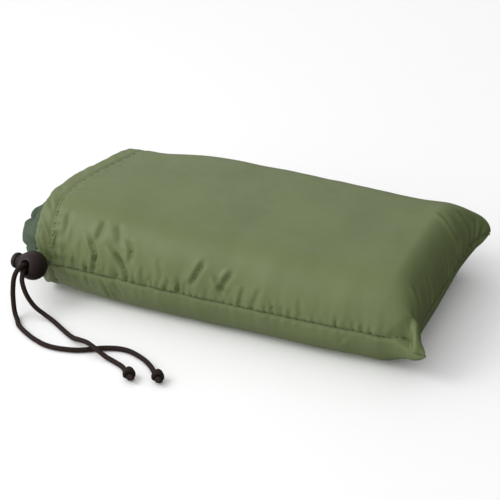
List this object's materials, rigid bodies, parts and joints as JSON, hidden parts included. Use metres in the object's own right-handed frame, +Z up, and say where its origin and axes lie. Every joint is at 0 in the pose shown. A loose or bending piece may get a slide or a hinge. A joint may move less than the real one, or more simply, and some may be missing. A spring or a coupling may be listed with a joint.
{
  "type": "camp pillow",
  "caption": "Camp pillow packed in a satin drawstring stuff sack: block shape, sewn side seam, corded mouth with a ball cord lock and two loose cord tails.",
  "frame": {"origin": "middle of the sack's flat underside, on the surface it lies on", "axes": "+X from the drawn mouth to the closed end, -Y the side that the cord lock is on, +Z up"},
  "size_m": [0.307, 0.242, 0.0684],
  "materials": {
    "taffeta": "satin woven nylon, olive green",
    "pillow_cover": "smooth woven cover, grey green",
    "fill": "soft fibre and foam fill, off white",
    "thread": "twisted sewing thread, dark olive",
    "cord": "round braided cord, dark brown",
    "lock_plastic": "moulded plastic, dark brown, satin",
    "spring_steel": "drawn spring wire"
  },
  "bodies": {
    "sack": {"sack_top_panel": "taffeta", "sack_bottom_panel": "taffeta", "side_seam_thread": "thread", "drawcord_channel": "taffeta", "channel_thread": "thread", "drawcord": "cord", "cord_tail_left": "cord", "cord_tail_right": "cord", "tail_knot_left": "cord", "tail_knot_right": "cord"},
    "lock": {"lock_barrel": "lock_plastic", "lock_spring": "spring_steel"},
    "plunger": {"lock_plunger": "lock_plastic"},
    "pillow": {"pillow_cover_upper": "pillow_cover", "pillow_cover_lower": "pillow_cover", "pillow_fill": "fill", "pillow_seam_thread": "thread"}
  },
  "joints": [
    {"name": "pillow_slide", "type": "slide", "parent": "sack", "child": "pillow", "axis": [-1, 0, 0], "range_m": [0, 0.3]},
    {"name": "lock_slide", "type": "slide", "parent": "sack", "child": "lock", "axis": [-0.1005, -0.9544, 0.2813], "range_m": [0, 0.02], "deforming": ["cord_tail_left", "cord_tail_right"]},
    {"name": "plunger_press", "type": "slide", "parent": "lock", "child": "plunger", "axis": [0.9936, -0.1107, -0.0208], "range_m": [0, 0.0028], "stiffness_N_per_m": 1500, "springref_m": -0.002, "deforming": ["lock_spring"]}
  ]
}
